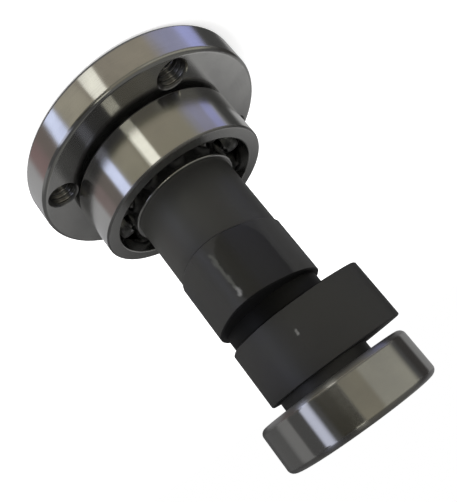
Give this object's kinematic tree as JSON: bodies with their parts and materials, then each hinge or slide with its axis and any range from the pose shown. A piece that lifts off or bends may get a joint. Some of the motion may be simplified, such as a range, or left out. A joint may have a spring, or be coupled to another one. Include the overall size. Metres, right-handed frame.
{
  "type": "camshaft with drive flange and ball bearings",
  "caption": "Engine camshaft with two cam lobes, a pressed-on drive flange with tapped holes, and an open ball bearing at each end.",
  "frame": {"origin": "centre of the drive flange's back face, on which the part stands", "axes": "+Z along the shaft from the flange to the small bearing, +X through the centre of a tapped hole of the flange"},
  "size_m": [0.0482, 0.0482, 0.0697],
  "materials": {
    "dark_shaft_steel": "ground steel with a dark phosphate coat, semi-matt",
    "flange_steel": "turned and ground bright steel",
    "bearing_ring_steel": "finely ground bearing steel",
    "cage_steel": "pressed steel strip, satin",
    "ball_steel": "polished bearing steel"
  },
  "bodies": {
    "shaft": {"camshaft": "dark_shaft_steel", "drive_flange": "flange_steel", "big_bearing_inner_ring": "bearing_ring_steel", "small_bearing_inner_ring": "bearing_ring_steel"},
    "big_outer_ring": {"big_bearing_outer_ring": "bearing_ring_steel"},
    "small_outer_ring": {"small_bearing_outer_ring": "bearing_ring_steel"},
    "big_cage": {"big_bearing_cage_front": "cage_steel", "big_bearing_cage_back": "cage_steel", "big_bearing_ball_01": "ball_steel", "big_bearing_ball_02": "ball_steel", "big_bearing_ball_03": "ball_steel", "big_bearing_ball_04": "ball_steel", "big_bearing_ball_05": "ball_steel", "big_bearing_ball_06": "ball_steel", "big_bearing_ball_07": "ball_steel", "big_bearing_ball_08": "ball_steel", "big_bearing_ball_09": "ball_steel", "big_bearing_ball_10": "ball_steel", "big_bearing_rivet_01": "cage_steel", "big_bearing_rivet_02": "cage_steel", "big_bearing_rivet_03": "cage_steel", "big_bearing_rivet_04": "cage_steel", "big_bearing_rivet_05": "cage_steel", "big_bearing_rivet_06": "cage_steel", "big_bearing_rivet_07": "cage_steel", "big_bearing_rivet_08": "cage_steel", "big_bearing_rivet_09": "cage_steel", "big_bearing_rivet_10": "cage_steel"},
    "small_cage": {"small_bearing_cage_front": "cage_steel", "small_bearing_cage_back": "cage_steel", "small_bearing_ball_01": "ball_steel", "small_bearing_ball_02": "ball_steel", "small_bearing_ball_03": "ball_steel", "small_bearing_ball_04": "ball_steel", "small_bearing_ball_05": "ball_steel", "small_bearing_ball_06": "ball_steel", "small_bearing_ball_07": "ball_steel", "small_bearing_ball_08": "ball_steel", "small_bearing_rivet_01": "cage_steel", "small_bearing_rivet_02": "cage_steel", "small_bearing_rivet_03": "cage_steel", "small_bearing_rivet_04": "cage_steel", "small_bearing_rivet_05": "cage_steel", "small_bearing_rivet_06": "cage_steel", "small_bearing_rivet_07": "cage_steel", "small_bearing_rivet_08": "cage_steel"}
  },
  "joints": [
    {"name": "big_outer_ring_spin", "type": "hinge", "parent": "shaft", "child": "big_outer_ring", "pos_m": [0, 0, 0.01235], "axis": [0, 0, 1], "continuous": true},
    {"name": "big_cage_spin", "type": "hinge", "parent": "shaft", "child": "big_cage", "pos_m": [0, 0, 0.01235], "axis": [0, 0, 1], "continuous": true},
    {"name": "small_outer_ring_spin", "type": "hinge", "parent": "shaft", "child": "small_outer_ring", "pos_m": [0, 0, 0.0652], "axis": [0, 0, 1], "continuous": true},
    {"name": "small_cage_spin", "type": "hinge", "parent": "shaft", "child": "small_cage", "pos_m": [0, 0, 0.0652], "axis": [0, 0, 1], "continuous": true}
  ],
  "couplings": [
    {"joint": "big_cage_spin", "follows": "big_outer_ring_spin", "ratio": 0.59154},
    {"joint": "small_cage_spin", "follows": "small_outer_ring_spin", "ratio": 0.619}
  ]
}
